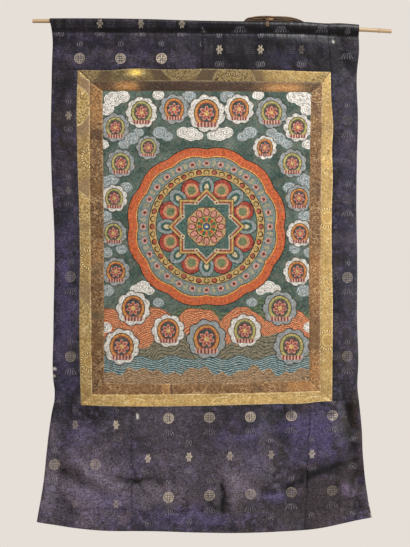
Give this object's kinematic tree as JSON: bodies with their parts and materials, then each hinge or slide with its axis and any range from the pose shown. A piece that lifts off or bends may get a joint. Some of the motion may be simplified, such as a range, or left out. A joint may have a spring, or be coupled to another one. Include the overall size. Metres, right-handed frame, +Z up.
{
  "type": "thangka scroll painting with hanging rod",
  "caption": "Wall hanging: a painted cotton canvas in two mitred brocade frames on dark silk brocade, its top sewn into a sleeve round a bamboo rod, with a tied silk ribbon.",
  "frame": {"origin": "middle of the hanging rod, on its centre line", "axes": "+Z up along the hanging cloth, +X to the viewer's right along the rod, the painted front faces -Y"},
  "size_m": [0.8613, 0.0211, 1.2444],
  "materials": {
    "bamboo": "bare split-grain cane",
    "dark_silk": "worn satin brocade with small pale motifs",
    "gold_brocade": "gold thread brocade",
    "copper_brocade": "copper red brocade with gold scrolls",
    "painted_cotton": "matt mineral paint on primed cotton",
    "brown_ribbon": "thin silk ribbon, bunched"
  },
  "bodies": {
    "root": {"rod": "bamboo", "top_panel_left": "dark_silk", "top_panel_right": "dark_silk", "side_strip_left_upper": "dark_silk", "side_strip_left_lower": "dark_silk", "side_strip_right": "dark_silk", "hem_panel_left": "dark_silk", "hem_panel_middle": "dark_silk", "hem_panel_right": "dark_silk", "gold_strip_top": "gold_brocade", "gold_strip_bottom": "gold_brocade", "gold_strip_left": "gold_brocade", "gold_strip_right": "gold_brocade", "copper_strip_top": "copper_brocade", "copper_strip_bottom": "copper_brocade", "copper_strip_left": "copper_brocade", "copper_strip_right": "copper_brocade", "painted_canvas": "painted_cotton", "tie_band": "brown_ribbon", "tie_knot": "brown_ribbon", "tie_end": "brown_ribbon"}
  },
  "joints": []
}
